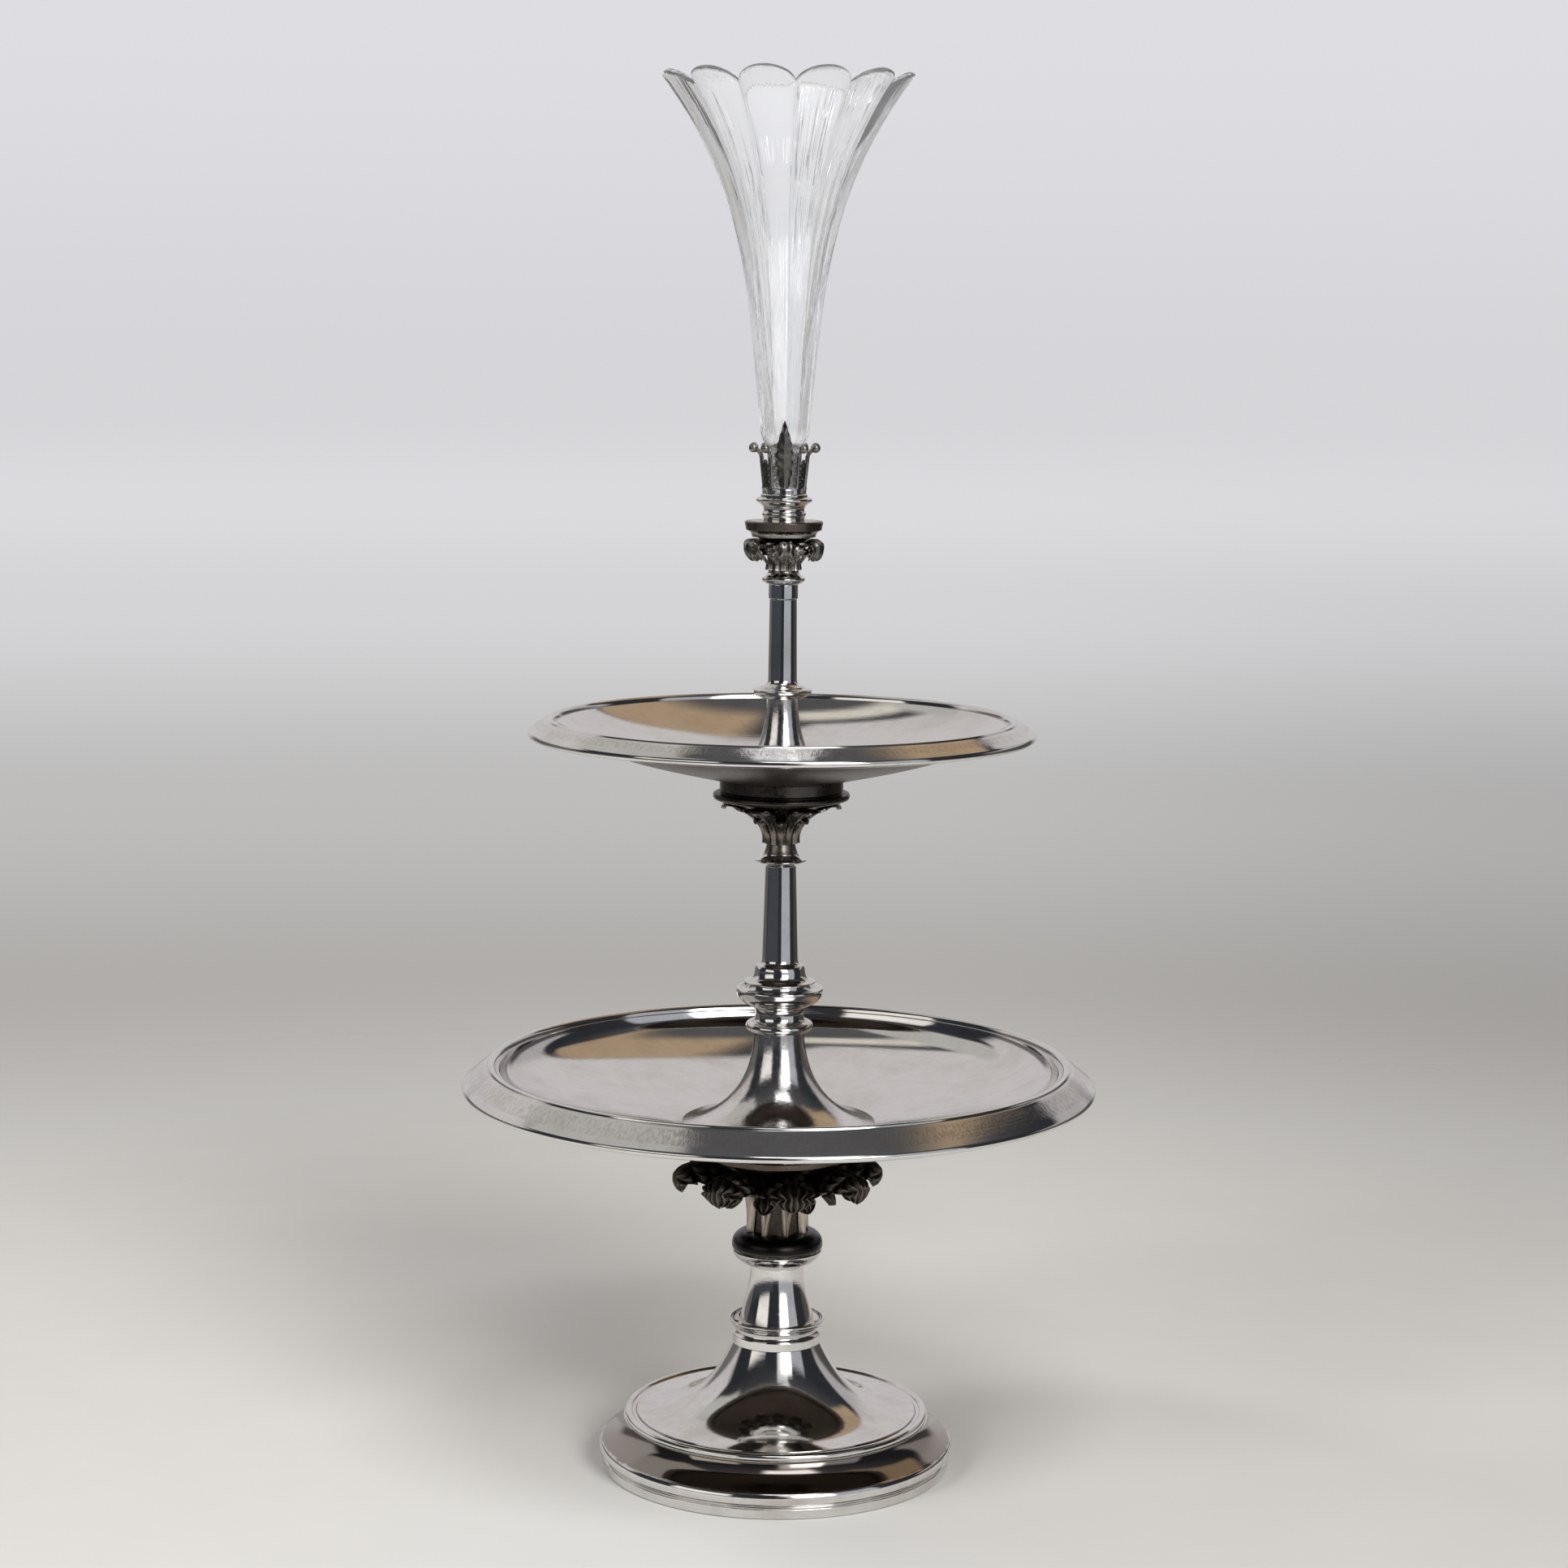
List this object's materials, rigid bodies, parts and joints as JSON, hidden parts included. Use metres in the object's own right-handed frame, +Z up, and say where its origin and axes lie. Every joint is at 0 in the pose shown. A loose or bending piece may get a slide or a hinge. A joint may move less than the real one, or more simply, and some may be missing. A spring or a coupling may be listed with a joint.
{
  "type": "epergne",
  "caption": "Two-tier silver-plated table epergne with saucer dishes on a turned stem, leaf capitals, and a crown socket holding a fluted glass trumpet vase.",
  "frame": {"origin": "on the floor under the stem's axis", "axes": "+Z up along the stem, -Y towards the viewer of the picture, +X to the viewer's right"},
  "size_m": [0.2654, 0.2654, 0.5812],
  "materials": {
    "silver_plate": "polished silver plate, lightly worn",
    "dark_silver": "cast silver plate with dark tarnish in the hollows",
    "brass": "plain turned brass",
    "steel": "plain steel",
    "clear_glass": "clear pressed glass, polished"
  },
  "bodies": {
    "base": {"base_plinth": "silver_plate", "base_bell": "silver_plate", "base_clamp_plate": "steel", "base_nut": "brass", "base_rod": "steel", "stem_collar": "silver_plate", "stem_vase": "silver_plate", "stem_knop": "silver_plate", "lower_capital": "dark_silver", "lower_capital_leaves": "dark_silver", "lower_abacus": "silver_plate", "lower_nut": "brass"},
    "lower_dish_body": {"lower_dish": "silver_plate"},
    "lower_column": {"lower_cone": "silver_plate", "lower_bush": "brass", "lower_ring": "silver_plate", "cup_knop": "silver_plate", "shaft_stage": "silver_plate", "lower_shaft": "silver_plate", "lower_astragal": "silver_plate", "middle_capital": "dark_silver", "middle_capital_leaves": "dark_silver", "middle_abacus": "dark_silver", "middle_rod": "steel", "middle_nut": "brass"},
    "upper_dish_body": {"upper_dish": "silver_plate"},
    "upper_column": {"upper_cone": "silver_plate", "upper_bush": "brass", "upper_ring": "silver_plate", "upper_shaft": "silver_plate", "upper_astragal": "silver_plate", "top_capital": "dark_silver", "top_capital_leaves": "dark_silver", "top_abacus": "silver_plate", "top_rod": "steel", "top_nut": "brass", "socket_cup": "silver_plate", "crown_band": "dark_silver", "crown_prongs": "dark_silver", "crown_leaves": "dark_silver"},
    "vase": {"glass_vase": "clear_glass"}
  },
  "joints": [
    {"name": "lower_dish_lift", "type": "slide", "parent": "base", "child": "lower_dish_body", "axis": [0, 0, 1], "range_m": [0, 0.03]},
    {"name": "lower_column_lift", "type": "slide", "parent": "lower_dish_body", "child": "lower_column", "axis": [0, 0, 1], "range_m": [0, 0.03]},
    {"name": "upper_dish_lift", "type": "slide", "parent": "lower_column", "child": "upper_dish_body", "axis": [0, 0, 1], "range_m": [0, 0.025]},
    {"name": "upper_column_lift", "type": "slide", "parent": "upper_dish_body", "child": "upper_column", "axis": [0, 0, 1], "range_m": [0, 0.025]},
    {"name": "vase_lift", "type": "slide", "parent": "upper_column", "child": "vase", "axis": [0, 0, 1], "range_m": [0, 0.05]}
  ]
}
